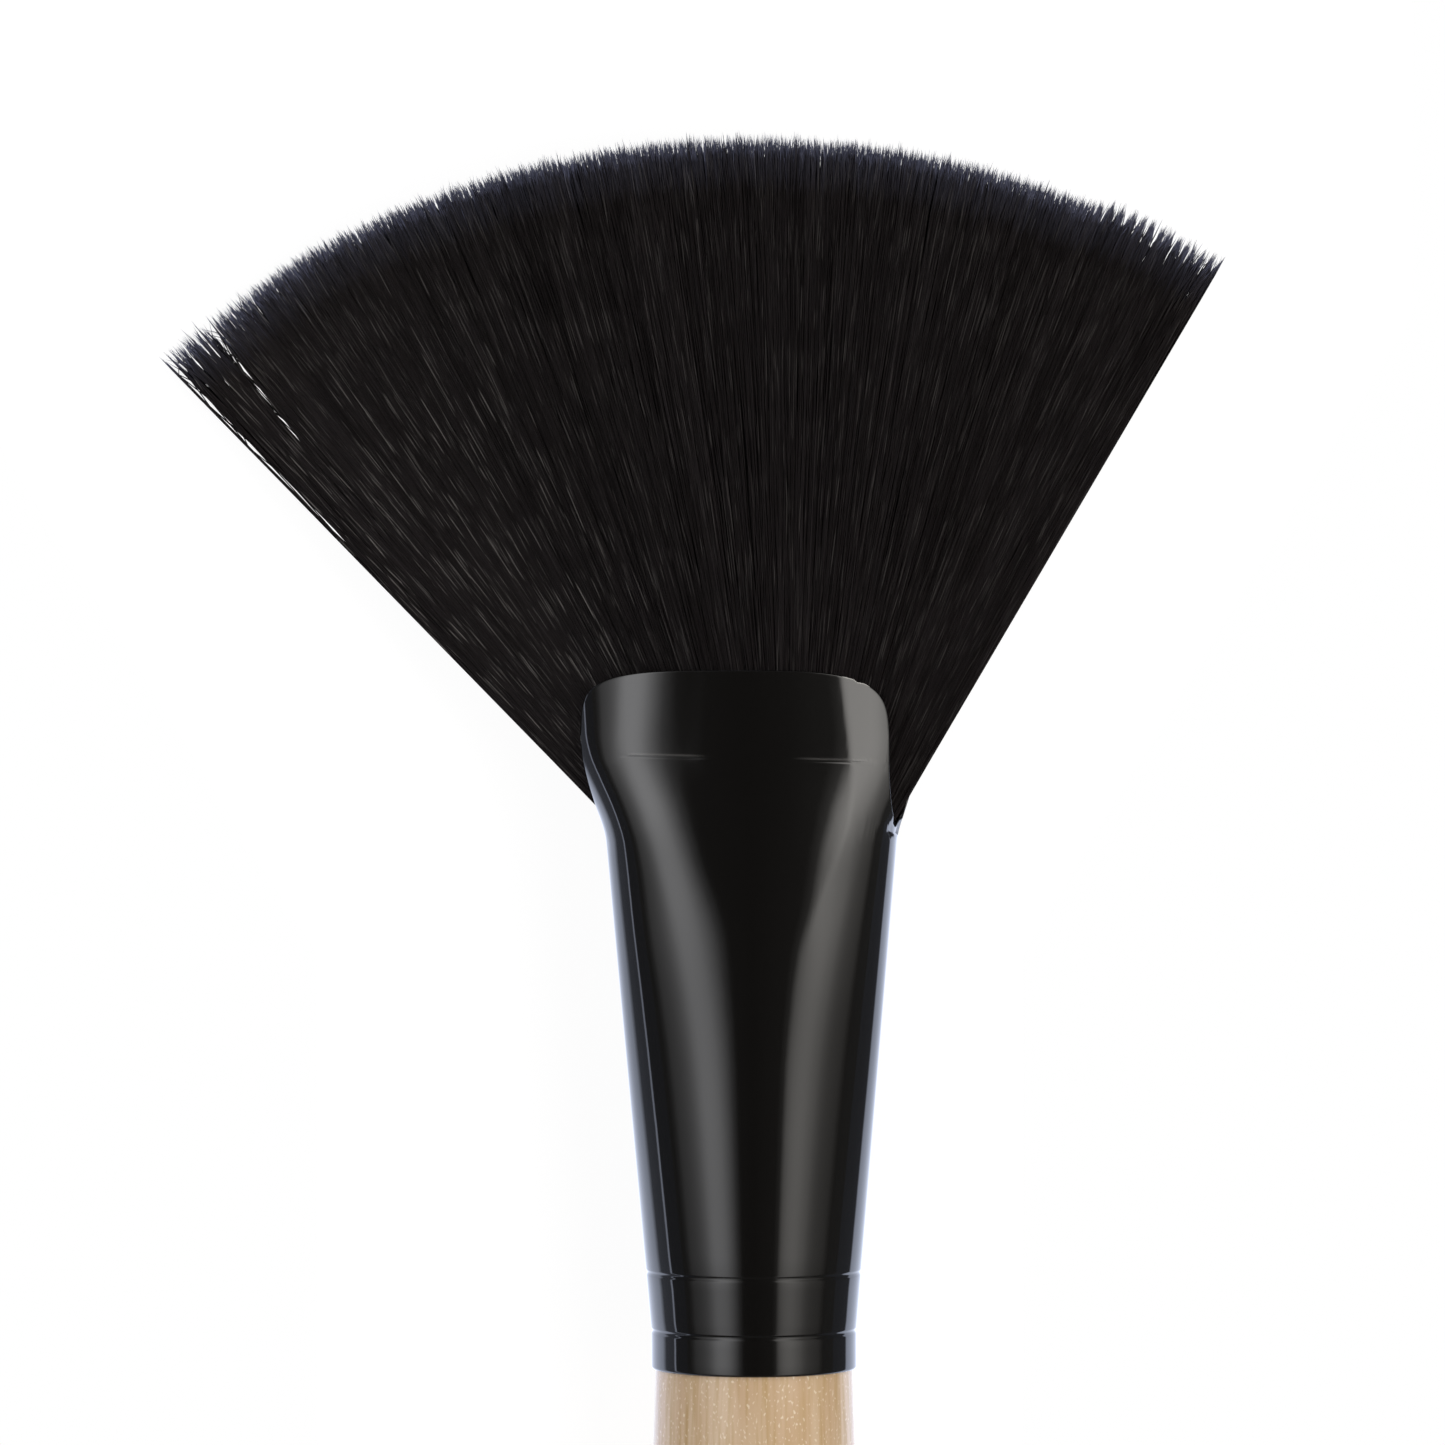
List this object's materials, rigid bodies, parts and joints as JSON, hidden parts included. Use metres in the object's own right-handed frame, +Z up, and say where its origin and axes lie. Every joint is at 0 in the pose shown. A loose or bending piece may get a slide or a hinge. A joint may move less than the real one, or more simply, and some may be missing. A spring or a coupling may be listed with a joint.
{
  "type": "fan makeup brush",
  "caption": "Fan makeup brush lying on a table: wooden handle, black crimped ferrule with side slots and pressed flaps, and a wide flat fan of black hair.",
  "frame": {"origin": "on the floor, under the middle of the brush's overall box, as it lies at rest", "axes": "+Y along the brush from the handle's end towards the crown of the hair, +Z up, +X to the right seen from above; the fan's upper face is the front"},
  "size_m": [0.064, 0.19, 0.0134],
  "materials": {
    "handle_wood": "satin",
    "ferrule_black": "gloss",
    "glue": "gloss",
    "hair_black": "satin"
  },
  "bodies": {
    "root": {"handle": "handle_wood", "ferrule": "ferrule_black", "glue_plug": "glue", "hair_fan": "hair_black"}
  },
  "joints": []
}
